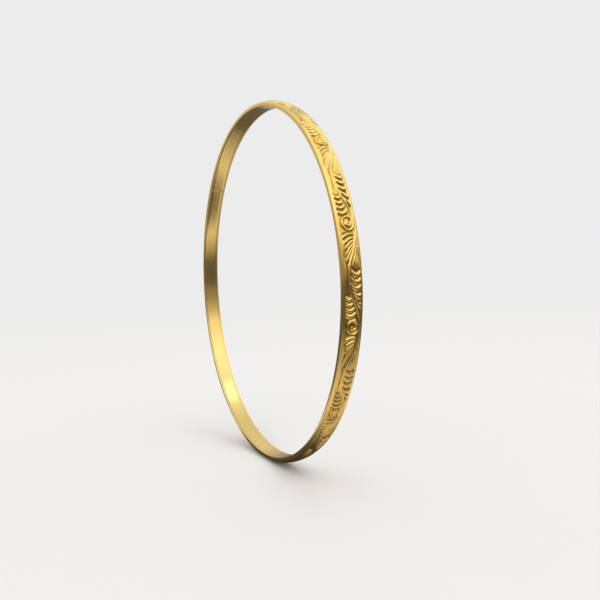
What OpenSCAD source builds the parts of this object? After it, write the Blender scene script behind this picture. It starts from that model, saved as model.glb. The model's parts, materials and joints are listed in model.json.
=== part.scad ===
// Bangle bracelet: a slip-on bangle, hollow and lined.
//
// A strip of sheet metal is pressed to a domed section and bent to a ring, which
// makes the outer shell. A flat strip is bent to a second ring and set between
// the shell's side walls, which closes the hollow. Solder holds the liner's two
// edges and fills the joint of each strip. A curved sleeve inside the hollow
// bridges the shell's joint. There is no hinge and no clasp.
//
// Millimetres. The ring's axis is X, +Y points to the back, +Z is up, and the
// origin is the centre of the opening.

/* [Ring] */
// Diameter of the opening that the hand passes through
opening_dia = 64; // [54:0.5:72]
// Width of the band along the axis of the opening
band_w = 3.3; // [2.8:0.1:5]
// Thickness of the band from the opening to the crown of its dome
band_t = 1.1; // [0.95:0.05:1.3]
// Height of the flat side walls below the dome
side_h = 0.6; // [0.5:0.02:0.66]

/* [Border lines] */
// Width of the plain rim beside each edge of the dome
rim_w = 0.4; // [0.3:0.05:0.7]
// Radius of the fine round line cut between each rim and the field
line_r = 0.08; // [0.04:0.02:0.12]

/* [Sheet metal] */
// Thickness of the pressed sheet of the outer shell
shell_sheet = 0.3; // [0.24:0.02:0.32]
// Thickness of the flat strip that lines the inside
liner_sheet = 0.3; // [0.2:0.02:0.32]
// Width of the soldered seam along each edge of the liner
seam_w = 0.1; // [0.06:0.02:0.2]

/* [Joints] */
// Place of the shell's joint round the ring, turned from +Y towards +Z
shell_joint_at = 132; // [0:1:359]
// Turn from the shell's joint to the liner's joint
liner_joint_turn = -90; // [-170:5:-10]
// Gap between the ends of a strip, which solder fills
joint_gap = 0.12; // [0.06:0.02:0.3]
// Length of the sleeve that bridges the shell's joint
sleeve_len = 8; // [4:0.5:14]
// Clearance between the sleeve and the shell's dome
sleeve_gap = 0.04; // [0.02:0.01:0.1]

/* [Hidden] */
$fn = 180;

// Radius of the opening, and of the top of the liner
opening_r = opening_dia / 2;
liner_top_r = opening_r + liner_sheet;

// The dome is one arc that rises over the side walls
dome_rise = band_t - side_h;
dome_r = (pow(band_w / 2, 2) + pow(dome_rise, 2)) / (2 * dome_rise);
dome_centre_r = opening_r + band_t - dome_r;

// Width between the shell's side walls, and of the liner between its two seams
inside_w = band_w - 2 * shell_sheet;
liner_w = inside_w - 2 * seam_w;

// Angles round the ring that an arc length takes up at the opening
joint_turn = arc_angle(joint_gap);
sleeve_turn = arc_angle(sleeve_len);
liner_joint_at = shell_joint_at + liner_joint_turn;

function arc_angle(arc_len) = arc_len * 180 / (PI * opening_r);

// Colours of the sheet metal, of the bare metal inside and of the solder
gold_colour = [0.86, 0.68, 0.34];
inner_colour = [0.78, 0.6, 0.3];
solder_colour = [0.88, 0.74, 0.46];

// Domed outline of the band, with its walls and its arc set in by inset
module dome_outline(inset) {
    half_w = band_w / 2 - inset;
    intersection() {
        translate([dome_centre_r, 0])
            circle(r = dome_r - inset);
        translate([opening_r, -half_w])
            square([band_t, 2 * half_w]);
    }
}

// Strip of the band's section from the opening out to the top of the liner
module liner_slot(slot_w) {
    translate([opening_r, -slot_w / 2])
        square([liner_sheet, slot_w]);
}

// Round line along the dome, rim_w in from the side of the band
module border_line(side) {
    y = side * (band_w / 2 - rim_w);
    on_dome_r = dome_centre_r + sqrt(pow(dome_r, 2) - pow(y, 2));
    translate([on_dome_r, y])
        circle(r = line_r);
}

module shell_section() {
    difference() {
        dome_outline(0);
        dome_outline(shell_sheet);
        liner_slot(inside_w);
        border_line(-1);
        border_line(1);
    }
}

module sleeve_section() {
    difference() {
        dome_outline(shell_sheet + sleeve_gap);
        liner_slot(band_w);
    }
}

// Turns a section round the ring's axis, from one angle on through another
module ring_sweep(from, turn) {
    rotate([90, 0, 90])
        rotate([0, 0, from])
            rotate_extrude(angle = turn)
                children();
}

// Ring that is open by a joint centred on an angle, and the fill of that joint
module open_ring(joint_at) {
    ring_sweep(joint_at + joint_turn / 2, 360 - joint_turn)
        children();
}

module joint_fill(joint_at) {
    ring_sweep(joint_at - joint_turn / 2, joint_turn)
        children();
}

// Solder between one edge of the liner and the side wall beside it
module edge_solder(side) {
    seam_middle = side * (liner_w + seam_w) / 2;
    ring_sweep(0, 360)
        translate([opening_r, seam_middle - seam_w / 2])
            square([liner_sheet, seam_w]);
}

module outer_shell() {
    color(gold_colour)
        open_ring(shell_joint_at)
            shell_section();
}

module inner_liner() {
    color(gold_colour)
        open_ring(liner_joint_at)
            liner_slot(liner_w);
}

module left_edge_solder() {
    color(solder_colour)
        edge_solder(-1);
}

module right_edge_solder() {
    color(solder_colour)
        edge_solder(1);
}

module shell_joint_solder() {
    color(solder_colour)
        joint_fill(shell_joint_at)
            shell_section();
}

module liner_joint_solder() {
    color(solder_colour)
        joint_fill(liner_joint_at)
            liner_slot(liner_w);
}

module joint_sleeve() {
    color(inner_colour)
        ring_sweep(shell_joint_at - sleeve_turn / 2, sleeve_turn)
            sleeve_section();
}

outer_shell();
inner_liner();
left_edge_solder();
right_edge_solder();
shell_joint_solder();
liner_joint_solder();
joint_sleeve();
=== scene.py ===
import json
import math

import bmesh
import bpy
import numpy as np
from mathutils import Matrix, Vector
from mathutils.noise import noise as noise_at

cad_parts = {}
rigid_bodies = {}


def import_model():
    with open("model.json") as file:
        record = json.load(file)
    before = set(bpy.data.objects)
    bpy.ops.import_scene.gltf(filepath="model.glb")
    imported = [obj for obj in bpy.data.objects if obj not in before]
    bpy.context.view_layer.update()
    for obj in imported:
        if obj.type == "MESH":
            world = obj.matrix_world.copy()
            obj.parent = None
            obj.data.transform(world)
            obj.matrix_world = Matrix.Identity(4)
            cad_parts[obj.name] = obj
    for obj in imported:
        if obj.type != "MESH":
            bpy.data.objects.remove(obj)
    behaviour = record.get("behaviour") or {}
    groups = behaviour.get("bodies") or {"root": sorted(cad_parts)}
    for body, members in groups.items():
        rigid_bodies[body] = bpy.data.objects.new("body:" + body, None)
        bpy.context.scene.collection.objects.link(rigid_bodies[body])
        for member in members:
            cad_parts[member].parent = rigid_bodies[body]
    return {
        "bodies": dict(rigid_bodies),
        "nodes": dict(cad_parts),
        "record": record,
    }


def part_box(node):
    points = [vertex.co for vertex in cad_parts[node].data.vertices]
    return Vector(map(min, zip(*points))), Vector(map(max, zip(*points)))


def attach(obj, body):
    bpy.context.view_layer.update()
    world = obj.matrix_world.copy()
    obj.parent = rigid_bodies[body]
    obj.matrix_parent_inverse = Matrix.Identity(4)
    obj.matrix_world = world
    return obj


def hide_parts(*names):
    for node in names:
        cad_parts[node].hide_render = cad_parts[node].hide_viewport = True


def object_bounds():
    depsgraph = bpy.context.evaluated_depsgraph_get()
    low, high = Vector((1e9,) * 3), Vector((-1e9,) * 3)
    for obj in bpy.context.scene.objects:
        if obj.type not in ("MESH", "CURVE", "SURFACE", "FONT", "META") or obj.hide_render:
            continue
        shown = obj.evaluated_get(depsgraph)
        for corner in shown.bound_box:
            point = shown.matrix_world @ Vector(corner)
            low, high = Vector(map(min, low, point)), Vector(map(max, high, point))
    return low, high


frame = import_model()
CAD_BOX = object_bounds()

# The look of the bangle bracelet: a domed gold shell with scroll relief, round a
# plain gold liner. Lengths are millimetres until a mesh is made, then metres.
# The ring's axis is X. Angles round it are turned from +Y towards +Z.

MM = 0.001
BODY = next(iter(frame["bodies"]))


# ---------------------------------------------------------------- sizes

def mount(name):
    return next(m for m in frame["record"]["mounts"] if m["name"] == name)


def box_mm(node):
    low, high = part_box(node)
    return np.array(low) / MM, np.array(high) / MM


def angle_of(node):
    """Angle round the ring of the middle of a small node, in radians."""
    low, high = box_mm(node)
    middle = (low + high) / 2
    return math.atan2(middle[2], middle[1])


OPENING_R = mount("wrist_opening")["dims"]["r_mm"]
HALF_W = mount("wrist_opening")["dims"]["length_mm"] / 2
CROWN_R = CAD_BOX[1][2] / MM
LINER_TOP_R = box_mm("inner_liner")[1][2]
LINER_HALF_W = box_mm("inner_liner")[1][0]
INSIDE_HALF_W = box_mm("right_edge_solder")[1][0]
SHEET = HALF_W - INSIDE_HALF_W
SIDE_WALL = 0.6

# Each strip's joint: its angle round the ring, and half the angle that its gap takes up
SHELL_JOINT = angle_of("shell_joint_solder")
LINER_JOINT = angle_of("liner_joint_solder")
JOINT_GAP = 0.12
HALF_GAP_TURN = JOINT_GAP / 2 / OPENING_R

# The dome is one arc over the side walls.
DOME_RISE = CROWN_R - OPENING_R - SIDE_WALL
DOME_R = (HALF_W ** 2 + DOME_RISE ** 2) / (2 * DOME_RISE)
DOME_CENTRE_R = CROWN_R - DOME_R
DOME_HALF_ARC = DOME_R * math.asin(HALF_W / DOME_R)

# How far the band's edges are rounded, at the opening and beside the dome, and where
# across the dome that second bend begins
INNER_ROUND = 0.05
RIM_ROUND = 0.07
RIM_EDGE = DOME_HALF_ARC - RIM_ROUND - 0.01

# The hollow's ceiling follows the dome over this share of the way to the inner walls.
CEILING_SHARE = 0.98

# Liner and seams: how far their edges are eased, how far a seam lies below the liner's
# face, and the steps that make one turn of the ring
LINER_EASE = 0.05
SEAM_EASE = 0.02
SEAM_SUNK = 0.03
RING_STEPS = 1080

# Bead of solder on the left rim at the shell's joint: its place across the dome, half
# its size round the ring, across the dome and outwards, and how uneven it is
BEAD_ACROSS = -1.31
BEAD_SIZE = (0.50, 0.32, 0.15)
BEAD_LUMPS = 0.16

# Scroll relief: whole repeats round the ring, from FIRST_TURN on, on a field between two
# plain rims. The ground lies GROUND under the dome, and no cut goes below DEEPEST.
REPEATS = 14
FIELD = 1.32
FIRST_TURN = math.radians(155.2)
GROUND = 0.18
DEEPEST = 0.27
SEED = 11

# Grid of the relief: columns round the ring, and places across the field and each rim
COLUMNS = REPEATS * 200
FIELD_PLACES = 39
RIM_PLACES = 5
RIM_START = FIELD + 0.06

# The relief fades out over a little way at the field's edges, where a border line runs,
# and beside the shell's joint, where the gold and the solder lie just under the dome.
EDGE_FADE = 0.07
BORDER_DEPTH = 0.05
BORDER_HALF_W = 0.09
JOINT_FADE = 0.5
JOINT_DEPTH = 0.02
SEAM_DEPTH = 0.012


# ---------------------------------------------------------------- relief

# A place on the strip is (along, across): along runs down the front of the ring, and
# across is positive towards the left rim. The strokes are drawn on a strip
# of PERIOD by 2 * DRAWN_FIELD, which is then fitted to the ring.

PERIOD = 15.0
DRAWN_FIELD = 1.52
STEM = [(-7.6, -1.32), (-6.4, -1.12), (-4.6, -0.42), (-3.0, 0.36), (-1.4, 0.76), (0.1, 0.80),
        (1.5, 0.48), (2.9, -0.22), (4.2, -0.90), (5.2, -1.20), (5.95, -1.22)]
VOLUTE = (6.25, 0.0)


def swell(along, ends):
    """Grows from nothing at one end of a stroke and falls away at the other."""
    rise = np.clip(along / max(ends[0], 1e-6), 0, 1)
    fall = np.clip((1 - along) / max(ends[1], 1e-6), 0, 1)
    return np.sin(rise * math.pi / 2) * np.sin(fall * math.pi / 2)


def through(*points, count=12):
    """Smooth curve through the points, with a few steps to each stretch."""
    p = np.array(points, float)
    p = np.concatenate([[2 * p[0] - p[1]], p, [2 * p[-1] - p[-2]]])
    t = np.linspace(0, 1, count, endpoint=False)[:, None]
    stretches = []
    for before, start, end, after in zip(p[:-3], p[1:-2], p[2:-1], p[3:]):
        bend = 2 * before - 5 * start + 4 * end - after
        turn = 3 * (start - end) + after - before
        stretches.append(start + 0.5 * t * (end - before + t * (bend + t * turn)))
    return np.concatenate([*stretches, p[-2:-1]])


def spiral(centre, first_r, last_r, from_deg, turn_deg, count=90):
    t = np.linspace(0, 1, count)
    angle = np.radians(from_deg + turn_deg * t)
    radius = first_r + (last_r - first_r) * t ** 1.2
    return np.stack([centre[0] + radius * np.cos(angle), centre[1] + radius * np.sin(angle)], 1)


def beside(path, offset):
    """Line at a distance from a path, to its left."""
    run = np.gradient(path, axis=0)
    run /= np.hypot(run[:, 0], run[:, 1])[:, None]
    return path + offset * np.stack([-run[:, 1], run[:, 0]], 1)


def part_of(path, start, end):
    """Stretch of a path between two shares of its points."""
    return path[int(start * (len(path) - 1)):int(end * (len(path) - 1)) + 1]


class Relief:
    """Metal surface over the strip: raised strokes, and cuts into them."""

    def __init__(self, across):
        self.across = across
        self.step = REPEATS * PERIOD / COLUMNS
        self.raised = np.zeros((COLUMNS, len(across)))
        self.cuts = np.zeros_like(self.raised)
        self.origin = 0.0
        self.wobble = 0.0
        self.unevenness = 0.0
        self.random = np.random.default_rng(SEED)

    def near(self, path, reach):
        """Grid cells about a path, with distance to it, place along it and side."""
        shift = self.random.uniform(-self.wobble, self.wobble, 2)
        path = np.asarray(path, float) + [self.origin, 0] + shift
        low, high = path.min(axis=0) - reach, path.max(axis=0) + reach
        rows = np.arange(math.floor(low[0] / self.step), math.ceil(high[0] / self.step) + 1)
        cols = np.where((self.across >= low[1]) & (self.across <= high[1]))[0]
        a, b = np.meshgrid(rows * self.step, self.across[cols], indexing="ij")
        start, run = path[:-1], np.diff(path, axis=0)
        length = np.maximum(np.hypot(run[:, 0], run[:, 1]), 1e-9)
        to_a = a[..., None] - start[:, 0]
        to_b = b[..., None] - start[:, 1]
        t = np.clip((to_a * run[:, 0] + to_b * run[:, 1]) / length ** 2, 0, 1)
        off_a, off_b = to_a - t * run[:, 0], to_b - t * run[:, 1]
        nearest = (off_a ** 2 + off_b ** 2).argmin(axis=-1)
        off_a, off_b, t = (np.take_along_axis(v, nearest[..., None], -1)[..., 0]
                           for v in (off_a, off_b, t))
        before = np.concatenate([[0], np.cumsum(length)])
        along = (before[nearest] + t * length[nearest]) / before[-1]
        side = np.sign(run[nearest, 0] * off_b - run[nearest, 1] * off_a)
        return np.ix_(rows % COLUMNS, cols), np.hypot(off_a, off_b), along, side

    def ridge(self, path, width, height=GROUND, ends=(0.25, 0.25)):
        """Round-backed stroke that narrows at its ends."""
        where, distance, along, _ = self.near(path, width)
        size = swell(along, ends) * self.random.uniform(1 - self.unevenness, 1)
        q = np.clip(distance / (width / 2 * size + 1e-6), 0, 1)
        rise = height * (0.4 + 0.6 * size) * (1 - q ** 2) ** 0.7
        self.raised[where] = np.maximum(self.raised[where], np.where(q < 1, rise, 0))

    def cut(self, path, width, depth, ends=(0.3, 0.3), lean=0.0):
        """Groove with a narrow core and a soft shoulder, steeper on one side if it leans."""
        where, distance, along, side = self.near(path, width * 2.2)
        size = swell(along, ends) * self.random.uniform(1 - self.unevenness, 1)
        half = width / 2 * (0.25 + 0.75 * size) * (1 + lean * side) + 1e-6
        core = np.clip(1 - distance / half, 0, 1) ** 0.8
        shoulder = np.clip(1 - distance / (2.2 * half), 0, 1) ** 2
        profile = 0.75 * core + 0.25 * shoulder
        deep = depth * self.random.uniform(0.85, 1.12)
        self.cuts[where] = np.maximum(self.cuts[where], deep * size * profile)

    def sheaf(self, paths, count, draw, *sizes, between=False, **options):
        """Strokes that change step by step from each path to the next."""
        for k in range(count):
            t = (k + 0.5) / count if between else k / (count - 1)
            here = min(int(t * (len(paths) - 1)), len(paths) - 2)
            share = t * (len(paths) - 1) - here
            draw(paths[here] * (1 - share) + paths[here + 1] * share, *sizes, **options)


def draw_stem(relief):
    """Stem that rises from the right rim, turns over and runs down into the volute."""
    stem = through(*STEM)
    relief.ridge(stem, 0.52, ends=(0.10, 0.0))
    relief.cut(beside(part_of(stem, 0.50, 0.98), -0.27), 0.27, 0.24, ends=(0.25, 0.4), lean=0.3)
    relief.cut(beside(part_of(stem, 0.62, 1.00), 0.26), 0.17, 0.15, ends=(0.4, 0.2), lean=-0.3)
    relief.cut(beside(part_of(stem, 0.04, 0.46), -0.25), 0.16, 0.16, ends=(0.4, 0.4), lean=0.3)


def draw_volute(relief):
    """The stem's end, wound in to a round bud."""
    relief.ridge(spiral(VOLUTE, 1.26, 0.30, -105, 560), 0.50, ends=(0.0, 0.05))
    relief.cut(spiral(VOLUTE, 1.02, 0.12, -80, 520), 0.24, 0.20, ends=(0.15, 0.1), lean=-0.2)
    relief.cut(spiral(VOLUTE, 1.52, 1.12, -62, 250), 0.24, 0.22, ends=(0.2, 0.3), lean=0.3)
    bud = np.array(VOLUTE) + [0.02, 0.02]
    relief.ridge(np.array([bud, bud + [0.05, 0]]), 0.42, ends=(0, 0))


def draw_comb(relief):
    """Shell of lobes under the stem's top turn, parted by crescent cuts."""
    first = through((-2.30, 0.24), (-1.70, -0.28), (-1.60, -0.96), (-2.10, -1.70))
    middle = through((0.05, 0.52), (0.70, -0.02), (0.84, -0.86), (0.36, -1.72))
    last = through((2.70, -0.36), (3.28, -0.80), (3.78, -1.25), (4.10, -1.70))
    paths = (first, middle, last)
    relief.sheaf(paths, 5, relief.ridge, 1.02, ends=(0.35, 0.12), between=True)
    relief.sheaf(paths, 6, relief.cut, 0.44, 0.27, ends=(0.4, 0.12), lean=0.4)
    relief.sheaf(paths, 5, relief.cut, 0.10, 0.06, ends=(0.5, 0.5), between=True)


def draw_hooks(relief):
    """Leaf between the falling stem and the left rim, its lobes hooked back."""
    first = through((1.30, 1.58), (1.90, 1.25), (2.02, 0.88), (1.82, 0.60))
    last = through((4.80, 1.58), (5.28, 0.80), (5.08, 0.05), (4.55, -0.62))
    relief.sheaf((first, last), 4, relief.ridge, 0.86, ends=(0.25, 0.3), between=True)
    relief.sheaf((first, last), 5, relief.cut, 0.38, 0.25, ends=(0.3, 0.4), lean=0.4)


def draw_fan(relief):
    """Leaf between the volute and the rising stem, fanned out to the left rim."""
    first = through((-7.00, -0.95), (-7.30, -0.20), (-7.22, 0.55), (-6.85, 1.56))
    last = through((-5.20, -0.36), (-4.20, 0.12), (-3.30, 0.66), (-2.20, 1.02))
    relief.sheaf((first, last), 5, relief.ridge, 0.68, ends=(0.35, 0.3), between=True)
    relief.sheaf((first, last), 6, relief.cut, 0.26, 0.23, ends=(0.35, 0.3), lean=0.35)


def draw_streaks(relief):
    """Streaked leaf between the rising stem and the right rim."""
    first = through((-5.7, -1.20), (-4.5, -0.74), (-3.4, -0.18), (-2.3, 0.30))
    last = through((-5.2, -1.52), (-4.2, -1.50), (-3.2, -1.42), (-2.0, -1.16))
    relief.sheaf((first, last), 3, relief.ridge, 0.60, ends=(0.5, 0.4), between=True)
    relief.sheaf((first, last), 4, relief.cut, 0.26, 0.23, ends=(0.5, 0.4), lean=0.3)


def draw_rim_leaves(relief):
    """Slim leaves that lie along the left rim, with a deep line under them."""
    upper_line = through((-6.5, 1.20), (-5.0, 1.10), (-3.9, 1.24), (-3.3, 1.46))
    lower_line = through((-3.0, 1.08), (-1.3, 1.06), (0.2, 1.10), (1.5, 1.22))
    relief.ridge(through((-6.5, 1.42), (-5.2, 1.30), (-3.9, 1.44)), 0.36, ends=(0.5, 0.5))
    relief.cut(upper_line, 0.22, 0.24, ends=(0.4, 0.4))
    relief.ridge(through((-3.4, 1.48), (-1.3, 1.30), (1.1, 1.46)), 0.44, ends=(0.5, 0.5))
    relief.cut(lower_line, 0.26, 0.26, ends=(0.3, 0.4))
    relief.cut(through((-3.5, 1.54), (-1.3, 1.50), (1.2, 1.54)), 0.14, 0.14, ends=(0.4, 0.4))


def relief_depth(across):
    """Depth of the metal under the dome, for each column and each place across."""
    relief = Relief(across * DRAWN_FIELD / FIELD)
    for k in range(REPEATS):
        relief.origin = k * PERIOD
        relief.wobble = relief.unevenness = 0.0
        draw_stem(relief)
        draw_volute(relief)
        relief.wobble, relief.unevenness = 0.05, 0.22
        draw_comb(relief)
        draw_hooks(relief)
        draw_fan(relief)
        draw_streaks(relief)
        draw_rim_leaves(relief)
    depth = np.clip(GROUND - relief.raised + relief.cuts, 0, DEEPEST)
    from_edge = FIELD - np.abs(across)
    fade = np.clip(from_edge / EDGE_FADE, 0, 1)
    border = BORDER_DEPTH * np.clip(1 - np.abs(from_edge) / BORDER_HALF_W, 0, 1)
    return soften(np.maximum(depth * fade, border))


def soften(depth):
    """Rounds the sharp edges off, as wear and polishing do."""
    padded = np.pad(depth, ((0, 0), (1, 1)), mode="edge")
    depth = (padded[:, :-2] + 2 * padded[:, 1:-1] + padded[:, 2:]) / 4
    return (np.roll(depth, 1, 0) + 2 * depth + np.roll(depth, -1, 0)) / 4


# ---------------------------------------------------------------- meshes

def add_object(name, data):
    """Object with this data, in the scene."""
    thing = bpy.data.objects.new(name, data)
    bpy.context.scene.collection.objects.link(thing)
    return thing


def ring_points(angles, x, radius):
    """Points at angles round the ring: x and radius are arrays over (angle, place)."""
    angles = angles[:, None]
    return np.stack(np.broadcast_arrays(x, radius * np.cos(angles), radius * np.sin(angles)), -1)


def swept_mesh(name, points, closed, values=None):
    """Closed solid from section loops in a row, open with two end caps or closed round."""
    rows, cols = points.shape[:2]
    mesh = bpy.data.meshes.new(name)
    this = np.arange(rows if closed else rows - 1)
    following = (this + 1) % rows
    col = np.arange(cols)
    right = (col + 1) % cols
    quads = np.stack([this[:, None] * cols + col, this[:, None] * cols + right,
                      following[:, None] * cols + right, following[:, None] * cols + col], -1)
    quads = quads.reshape(-1, 4)
    faces = quads.tolist()
    if not closed:
        faces.append(list(range(cols))[::-1])
        faces.append([(rows - 1) * cols + c for c in range(cols)])
    mesh.from_pydata((points.reshape(-1, 3) * MM).tolist(), [], faces)
    if values is not None:
        attribute = mesh.attributes.new("depth", "FLOAT", "POINT")
        attribute.data.foreach_set("value", values.reshape(-1).astype(np.float32))
    mesh.polygons.foreach_set("use_smooth", [True] * len(mesh.polygons))
    mesh.update()
    return add_object(name, mesh)


def open_turn(joint, count):
    """Angles from one side of a joint's gap round the ring to its other side."""
    return np.linspace(joint + HALF_GAP_TURN, joint + 2 * math.pi - HALF_GAP_TURN, count)


def round_corner(corner, toward_a, toward_b, size, count=4):
    """Points that cut a corner with a smooth bend, from the a side to the b side."""
    corner, a, b = (np.array(p, float) for p in (corner, toward_a, toward_b))
    start = corner + (a - corner) / np.linalg.norm(a - corner) * size
    end = corner + (b - corner) / np.linalg.norm(b - corner) * size
    t = np.linspace(0, 1, count)[:, None]
    return (1 - t) ** 2 * start + 2 * t * (1 - t) * corner + t ** 2 * end


def dome_point(across, depth=0.0):
    """Point of the section (x, radius) at an arc length from the crown, under the dome."""
    turn = across / DOME_R
    arc_r = DOME_R - depth
    return np.stack([arc_r * np.sin(turn), DOME_CENTRE_R + arc_r * np.cos(turn)], -1)


def across_places():
    """Places across the dome: close together on the field, wider on the rims."""
    rim = np.linspace(RIM_START, RIM_EDGE, RIM_PLACES)
    field = np.linspace(-FIELD, FIELD, FIELD_PLACES)
    return np.concatenate([-rim[::-1], field, rim])


def shell_section():
    """The section's parts beside and under the dome: left wall, right wall and ceiling."""
    wall_foot = (HALF_W, OPENING_R)
    wall_top = (HALF_W, OPENING_R + SIDE_WALL)
    inner_foot = (INSIDE_HALF_W, OPENING_R)
    inner_edge = round_corner(wall_foot, inner_foot, wall_top, INNER_ROUND)
    rim_edge = round_corner(wall_top, wall_foot, dome_point(RIM_EDGE), RIM_ROUND)
    right = np.concatenate([[inner_foot], inner_edge, rim_edge[:-1]])[::-1]
    left = right[::-1] * [-1, 1]
    ceiling_turn = CEILING_SHARE * math.asin(INSIDE_HALF_W / (DOME_R - SHEET))
    ceiling = dome_point(np.linspace(1, -1, 7) * ceiling_turn * DOME_R, SHEET)
    return left, right, ceiling


def shell_loops(angles, depth, across):
    """Section loops of the embossed shell at the given angles."""
    left, right, ceiling = (np.broadcast_to(part, (len(angles), *part.shape))
                            for part in shell_section())
    dome = dome_point(across[None, :], depth)
    loop = np.concatenate([left, dome, right, ceiling], axis=1)
    deep = np.zeros(loop.shape[:2])
    deep[:, left.shape[1]:left.shape[1] + dome.shape[1]] = depth
    return ring_points(angles, loop[..., 0], loop[..., 1]), deep


def make_shell(depth, across):
    """Shell of the ring from one end of its strip to the other, with the relief on it."""
    angles = open_turn(SHELL_JOINT, COLUMNS + 1)
    place = ((angles - FIRST_TURN) / (2 * math.pi) * COLUMNS) % COLUMNS
    low = np.floor(place).astype(int) % COLUMNS
    share = (place - np.floor(place))[:, None]
    here = depth[low] * (1 - share) + depth[(low + 1) % COLUMNS] * share
    from_joint = np.minimum(angles - angles[0], angles[-1] - angles)[:, None] * CROWN_R
    fade = np.clip(from_joint / JOINT_FADE, 0, 1) ** 0.7
    here = here * fade + JOINT_DEPTH * (1 - fade)
    points, deep = shell_loops(angles, here, across)
    return swept_mesh("embossed_shell", points, closed=False, values=deep)


def make_joint_seam(across):
    """Solder in the shell's joint, with a small bead left on the left rim."""
    angles = np.linspace(SHELL_JOINT - HALF_GAP_TURN, SHELL_JOINT + HALF_GAP_TURN, 7)
    depth = np.full((len(angles), len(across)), SEAM_DEPTH)
    points, deep = shell_loops(angles, depth, across)
    seam = swept_mesh("shell_joint_seam", points, closed=False, values=deep)
    add_bead(seam.data)
    return seam


def add_bead(mesh):
    """Lump of solder that ran out of the joint, seated on the left rim."""
    turn = BEAD_ACROSS / DOME_R
    radial = Vector((0, math.cos(SHELL_JOINT), math.sin(SHELL_JOINT)))
    sideways = Vector((1, 0, 0))
    outward = sideways * math.sin(turn) + radial * math.cos(turn)
    over = sideways * math.cos(turn) - radial * math.sin(turn)
    round_ring = outward.cross(over)
    seat_x, seat_r = dome_point(BEAD_ACROSS)
    seat = sideways * seat_x + radial * seat_r
    noise_start = Vector((3, 1, 7))
    bead = bmesh.new()
    bead.from_mesh(mesh)
    ball = bmesh.ops.create_icosphere(bead, subdivisions=4, radius=1)["verts"]
    for vertex in ball:
        lumpy = 1 + BEAD_LUMPS * noise_at(vertex.co * 1.7 + noise_start)
        a, b, c = (part * size * lumpy for part, size in zip(vertex.co, BEAD_SIZE))
        vertex.co = (seat + round_ring * a + over * b + outward * c) * MM
    for face in bead.faces:
        face.smooth = True
    bead.to_mesh(mesh)
    bead.free()


def box_loops(angles, low_x, high_x, low_r, high_r, edge):
    """Section loops of a strip with its edges eased on the opening's side."""
    left = round_corner((low_x, low_r), (low_x, high_r), (high_x, low_r), edge)
    right = round_corner((high_x, low_r), (low_x, low_r), (high_x, high_r), edge)
    flat_x = np.linspace(low_x + edge, high_x - edge, 7)[1:-1]
    face = np.stack([flat_x, np.full_like(flat_x, low_r)], -1)
    top = np.array([(high_x, high_r), (low_x, high_r)])
    loop = np.concatenate([left, face, right, top])[::-1]
    loops = np.broadcast_to(loop, (len(angles), *loop.shape))
    return ring_points(angles, loops[..., 0], loops[..., 1])


def make_liner():
    """Flat strip round the opening, from one side of its joint to the other."""
    angles = open_turn(LINER_JOINT, RING_STEPS + 1)
    points = box_loops(angles, -LINER_HALF_W, LINER_HALF_W, OPENING_R, LINER_TOP_R, LINER_EASE)
    return swept_mesh("liner_strip", points, closed=False)


def make_edge_seam(name, side):
    """Ring of solder beside the liner, a little hollow between the two edges."""
    angles = np.linspace(0, 2 * math.pi, RING_STEPS, endpoint=False)
    low_x, high_x = sorted((side * LINER_HALF_W, side * INSIDE_HALF_W))
    points = box_loops(angles, low_x, high_x, OPENING_R + SEAM_SUNK, LINER_TOP_R, SEAM_EASE)
    return swept_mesh(name, points, closed=True)


# ---------------------------------------------------------------- materials

# Depth of the relief at which painted shade starts to darken its gold
PAINTED_SHADE_FROM = 0.13


def new_material(name):
    """Metal with its nodes, links and shader."""
    material = bpy.data.materials.new(name)
    material.use_nodes = True
    nodes = material.node_tree.nodes
    shader = next(n for n in nodes if n.type == "BSDF_PRINCIPLED")
    shader.inputs["Metallic"].default_value = 1.0
    return material, nodes, material.node_tree.links, shader


def noise(nodes, links, scale, detail, stretch=(1, 1, 1)):
    """Noise over the object's own coordinates, in metres."""
    place = nodes.new("ShaderNodeTexCoord")
    mapping = nodes.new("ShaderNodeMapping")
    mapping.inputs["Scale"].default_value = stretch
    texture = nodes.new("ShaderNodeTexNoise")
    texture.inputs["Scale"].default_value = scale
    texture.inputs["Detail"].default_value = detail
    links.new(place.outputs["Object"], mapping.inputs["Vector"])
    links.new(mapping.outputs["Vector"], texture.inputs["Vector"])
    return texture.outputs["Fac"]


def ramp(nodes, links, value, low, high, out_low, out_high):
    """Maps a value from one range to another."""
    node = nodes.new("ShaderNodeMapRange")
    links.new(value, node.inputs["Value"])
    ends = {"From Min": low, "From Max": high, "To Min": out_low, "To Max": out_high}
    for key, number in ends.items():
        node.inputs[key].default_value = number
    return node.outputs["Result"]


def mix_colour(nodes, links, factor, first, second):
    """Mix of two colours, each a plain one or another node's."""
    node = nodes.new("ShaderNodeMix")
    node.data_type = "RGBA"
    links.new(factor, node.inputs["Factor"])
    for socket, colour in ((node.inputs[6], first), (node.inputs[7], second)):
        if isinstance(colour, tuple):
            socket.default_value = (*colour, 1)
        else:
            links.new(colour, socket)
    return node.outputs[2]


def colour_ramp(nodes, links, value, stops, easing="LINEAR"):
    """Colour for a value from 0 to 1, from stops of a place and a colour."""
    node = nodes.new("ShaderNodeValToRGB")
    node.color_ramp.interpolation = easing
    elements = node.color_ramp.elements
    for k, (place, colour) in enumerate(stops):
        element = elements[k] if k < 2 else elements.new(1.0)
        element.position = place
        element.color = (*colour, 1)
    links.new(value, node.inputs["Fac"])
    return node.outputs["Color"]


def mix_shaders(nodes, links, factor, first, second, output):
    """Sends the mix of two shaders to the output."""
    node = nodes.new("ShaderNodeMixShader")
    for value, socket in zip((factor, first, second), node.inputs):
        links.new(value, socket)
    links.new(node.outputs["Shader"], output.inputs["Surface"])


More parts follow.
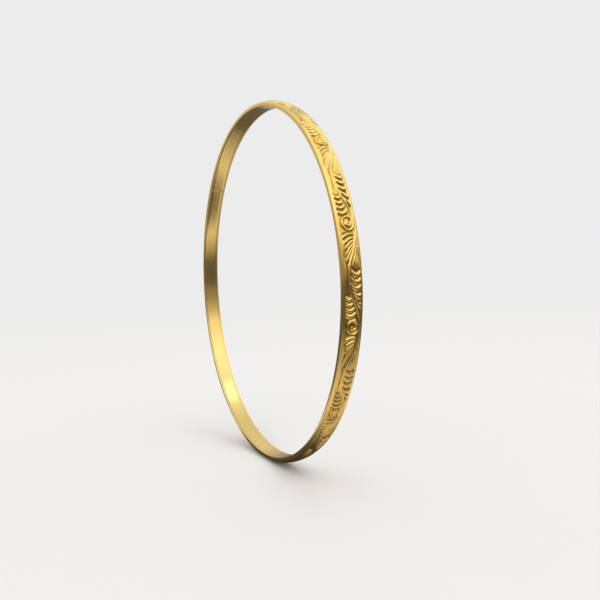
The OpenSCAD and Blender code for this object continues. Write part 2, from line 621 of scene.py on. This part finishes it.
def add_bump(nodes, links, shader, height, strength, distance):
    """Fine unevenness of the surface; the distance is in metres."""
    bump = nodes.new("ShaderNodeBump")
    bump.inputs["Strength"].default_value = strength
    bump.inputs["Distance"].default_value = distance
    links.new(height, bump.inputs["Height"])
    links.new(bump.outputs["Normal"], shader.inputs["Normal"])


def shell_gold():
    """Polished gold, with painted shade that makes it darker and duller down in the relief's
    cuts.
    """
    material, nodes, links, shader = new_material("relief_gold")
    depth = nodes.new("ShaderNodeAttribute")
    depth.attribute_name = "depth"
    # Painted shade: the gold turns dark brown as the relief's cuts get deeper
    painted_shade_share = ramp(nodes, links, depth.outputs["Fac"], PAINTED_SHADE_FROM, DEEPEST, 0.0, 1.0)
    patches = noise(nodes, links, scale=260, detail=3)
    gold = mix_colour(nodes, links, patches, (0.93, 0.61, 0.165), (0.99, 0.68, 0.215))
    painted_shade_gold = mix_colour(nodes, links, painted_shade_share, gold, (0.47, 0.215, 0.05))
    links.new(painted_shade_gold, shader.inputs["Base Color"])
    fine = noise(nodes, links, scale=2600, detail=4)
    rough = ramp(nodes, links, fine, 0.3, 0.7, 0.10, 0.21)
    links.new(rough, shader.inputs["Roughness"])
    add_bump(nodes, links, shader, fine, strength=0.12, distance=0.00004)
    return material


def liner_gold():
    """Smooth gold with fine scratches that run round the ring."""
    material, nodes, links, shader = new_material("liner_gold")
    patches = noise(nodes, links, scale=180, detail=3)
    gold = mix_colour(nodes, links, patches, (0.90, 0.62, 0.20), (0.96, 0.68, 0.25))
    links.new(gold, shader.inputs["Base Color"])
    scratches = noise(nodes, links, scale=700, detail=5, stretch=(9, 1, 1))
    rough = ramp(nodes, links, scratches, 0.3, 0.7, 0.09, 0.19)
    links.new(rough, shader.inputs["Roughness"])
    add_bump(nodes, links, shader, scratches, strength=0.15, distance=0.00003)
    return material


def solder_gold():
    """Gold solder, a little paler than the sheet."""
    material, nodes, links, shader = new_material("solder_gold")
    patches = noise(nodes, links, scale=900, detail=3)
    colour = mix_colour(nodes, links, patches, (0.86, 0.58, 0.28), (0.97, 0.70, 0.42))
    links.new(colour, shader.inputs["Base Color"])
    rough = ramp(nodes, links, patches, 0.3, 0.7, 0.25, 0.42)
    links.new(rough, shader.inputs["Roughness"])
    add_bump(nodes, links, shader, patches, strength=0.3, distance=0.00005)
    return material


def bare_metal():
    """Unpolished sheet inside the hollow."""
    material, nodes, links, shader = new_material("sleeve_metal")
    grain = noise(nodes, links, scale=1500, detail=4)
    colour = mix_colour(nodes, links, grain, (0.50, 0.34, 0.15), (0.66, 0.48, 0.24))
    links.new(colour, shader.inputs["Base Color"])
    rough = ramp(nodes, links, grain, 0.3, 0.7, 0.45, 0.65)
    links.new(rough, shader.inputs["Roughness"])
    return material


def give_material(piece, material):
    piece.data.materials.clear()
    piece.data.materials.append(material)


def finish_piece(piece, node, material):
    """Puts a piece in place of its CAD node, on the one body."""
    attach(piece, BODY)
    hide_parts(node)
    give_material(piece, material)


# ---------------------------------------------------------------- stage

# Lengths on the stage are metres, except the camera's.

# Brightness of the room for the sine of the height above the horizon, before and
# behind the bangle, and the room's tint at eye level and overhead
FRONT_LEVELS = [(0.0, 0.27), (0.12, 0.32), (0.26, 0.56), (0.42, 1.08), (0.74, 1.38), (1.0, 1.10)]
BACK_LEVELS = [(0.0, 0.36), (0.20, 0.58), (0.44, 0.84), (0.84, 0.84), (1.0, 1.00)]
LOW_TINT = (1.0, 0.93, 0.84)
HIGH_TINT = (0.87, 1.0, 1.02)
# The Y part of a direction at which the room in front ends, and the one behind begins
FRONT_END = -0.1
BACK_START = 0.3

# The tone that the camera sees behind the bangle, and into which the floor fades
# between two distances from the middle
BACKDROP = (0.84, 0.84, 0.84)
FADE_START = 0.10
FADE_END = 0.60

# The floor's half width and colour, and the floor as the gold reflects it, with painted light
# and shade:
# shares of that colour by distance from the middle, dark under the bangle, bright about 31 mm
# out, dim beyond
FLOOR_HALF_W = 3.0
FLOOR_COLOUR = (0.96, 0.88, 0.87)
PAINTED_LIGHT_AND_SHADE_SHARES = [(0.016, 0.10), (0.031, 0.92), (0.052, 0.52), (0.085, 0.14)]

# The key lamp's place and size, and its power in watts
KEY_PLACE = (0.145, -0.02, 0.40)
KEY_SIZE = 0.12
KEY_POWER = 0.036

# The camera's place, lens and sensor in millimetres, and its yaw, pitch and roll in
# degrees
CAMERA_PLACE = (-42.5, -102.4, -0.2)
CAMERA_TURN = (26.11, -1.65, -2.74)
LENS = 35
SENSOR = 36


def make_floor():
    """Large plain pale floor under the bangle's lowest point."""
    half, level = FLOOR_HALF_W, CAD_BOX[0][2]
    corners = [(-half, -half, level), (half, -half, level),
               (half, half, level), (-half, half, level)]
    mesh = bpy.data.meshes.new("floor")
    mesh.from_pydata(corners, [], [(0, 1, 2, 3)])
    mesh.materials.append(pale_floor())
    add_object("floor", mesh)


def distance_from_middle(nodes, links):
    """Distance of a place on the floor from the middle, in metres."""
    place = nodes.new("ShaderNodeTexCoord")
    flat = nodes.new("ShaderNodeVectorMath")
    flat.operation = "MULTIPLY"
    flat.inputs[1].default_value = (1, 1, 0)
    links.new(place.outputs["Object"], flat.inputs[0])
    radius = nodes.new("ShaderNodeVectorMath")
    radius.operation = "LENGTH"
    links.new(flat.outputs["Vector"], radius.inputs[0])
    return radius.outputs["Value"]


def floor_with_painted_light(nodes, links, distance):
    """Colour of the floor as the gold reflects it: painted shade near the middle and far off,
    and a painted bright ring between.
    """
    reach = PAINTED_LIGHT_AND_SHADE_SHARES[-1][0]
    stops = [(at / reach, [share * part for part in FLOOR_COLOUR])
             for at, share in PAINTED_LIGHT_AND_SHADE_SHARES]
    return colour_ramp(nodes, links, ramp(nodes, links, distance, 0.0, reach, 0.0, 1.0), stops)


def pale_floor():
    """Matt floor that fades into the backdrop for the camera; in the gold's reflections it
    carries painted light and shade.
    """
    material = bpy.data.materials.new("pale_floor")
    material.use_nodes = True
    nodes, links = material.node_tree.nodes, material.node_tree.links
    nodes.remove(next(n for n in nodes if n.type == "BSDF_PRINCIPLED"))
    path = nodes.new("ShaderNodeLightPath")
    distance = distance_from_middle(nodes, links)
    # Glossy rays see the floor with painted light and shade by distance from the middle; other
    # rays see its plain colour
    colour = mix_colour(nodes, links, path.outputs["Is Glossy Ray"], FLOOR_COLOUR,
                        floor_with_painted_light(nodes, links, distance))
    matt = nodes.new("ShaderNodeBsdfDiffuse")
    links.new(colour, matt.inputs["Color"])
    haze = nodes.new("ShaderNodeEmission")
    haze.inputs["Color"].default_value = (*BACKDROP, 1)
    fade = nodes.new("ShaderNodeMath")
    fade.operation = "MULTIPLY"
    links.new(ramp(nodes, links, distance, FADE_START, FADE_END, 0.0, 1.0), fade.inputs[0])
    links.new(path.outputs["Is Camera Ray"], fade.inputs[1])
    mix_shaders(nodes, links, fade.outputs["Value"], matt.outputs["BSDF"],
                haze.outputs["Emission"], nodes["Material Output"])
    return material


def room_levels(nodes, links, height, levels):
    """Colour of the room over the height, from warm and dim to cool and bright."""
    stops = []
    for sine, grey in levels:
        tint = [low + (high - low) * sine for low, high in zip(LOW_TINT, HIGH_TINT)]
        stops.append((sine, [grey * part for part in tint]))
    return colour_ramp(nodes, links, height, stops, easing="EASE")


def make_world():
    """Studio round the bangle: a bright ceiling, and darker towards eye level in front.

    The camera itself sees one plain pale backdrop.
    """
    world = bpy.data.worlds.new("studio")
    world.use_nodes = True
    nodes, links = world.node_tree.nodes, world.node_tree.links
    place = nodes.new("ShaderNodeTexCoord")
    parts = nodes.new("ShaderNodeSeparateXYZ")
    links.new(place.outputs["Generated"], parts.inputs["Vector"])
    behind = ramp(nodes, links, parts.outputs["Y"], FRONT_END, BACK_START, 0.0, 1.0)
    front_room = room_levels(nodes, links, parts.outputs["Z"], FRONT_LEVELS)
    back_room = room_levels(nodes, links, parts.outputs["Z"], BACK_LEVELS)
    room = nodes["Background"]
    links.new(mix_colour(nodes, links, behind, front_room, back_room), room.inputs["Color"])
    backdrop = nodes.new("ShaderNodeBackground")
    backdrop.inputs["Color"].default_value = (*BACKDROP, 1)
    path = nodes.new("ShaderNodeLightPath")
    mix_shaders(nodes, links, path.outputs["Is Camera Ray"], room.outputs["Background"],
                backdrop.outputs["Background"], nodes["World Output"])
    bpy.context.scene.world = world


def make_key_lamp():
    """Soft square lamp overhead that looks at the bangle."""
    lamp = bpy.data.lights.new("key", "AREA")
    lamp.size = KEY_SIZE
    lamp.energy = KEY_POWER
    holder = add_object("key", lamp)
    holder.location = KEY_PLACE
    holder.rotation_euler = (-Vector(KEY_PLACE)).to_track_quat("-Z", "Y").to_euler()


def make_camera():
    """Camera close in front, to the left, level with the middle of the ring."""
    camera = bpy.data.cameras.new("camera")
    camera.sensor_width = SENSOR
    camera.lens = LENS
    camera.clip_start = 0.005
    holder = add_object("camera", camera)
    holder.location = Vector(CAMERA_PLACE) * MM
    yaw, pitch, roll = (math.radians(turn) for turn in CAMERA_TURN)
    level = Matrix.Rotation(-yaw, 4, "Z") @ Matrix.Rotation(math.pi / 2 + pitch, 4, "X")
    holder.rotation_euler = (level @ Matrix.Rotation(roll, 4, "Z")).to_euler()
    bpy.context.scene.camera = holder


# ---------------------------------------------------------------- build

make_camera()
make_floor()
make_world()
make_key_lamp()

places = across_places()
depths = relief_depth(-places)
solder = solder_gold()
finish_piece(make_shell(depths, places), "outer_shell", shell_gold())
finish_piece(make_joint_seam(places), "shell_joint_solder", solder)
finish_piece(make_liner(), "inner_liner", liner_gold())
finish_piece(make_edge_seam("left_seam", -1), "left_edge_solder", solder)
finish_piece(make_edge_seam("right_seam", 1), "right_edge_solder", solder)
give_material(frame["nodes"]["liner_joint_solder"], solder)
give_material(frame["nodes"]["joint_sleeve"], bare_metal())

bpy.context.scene.view_settings.view_transform = "Standard"
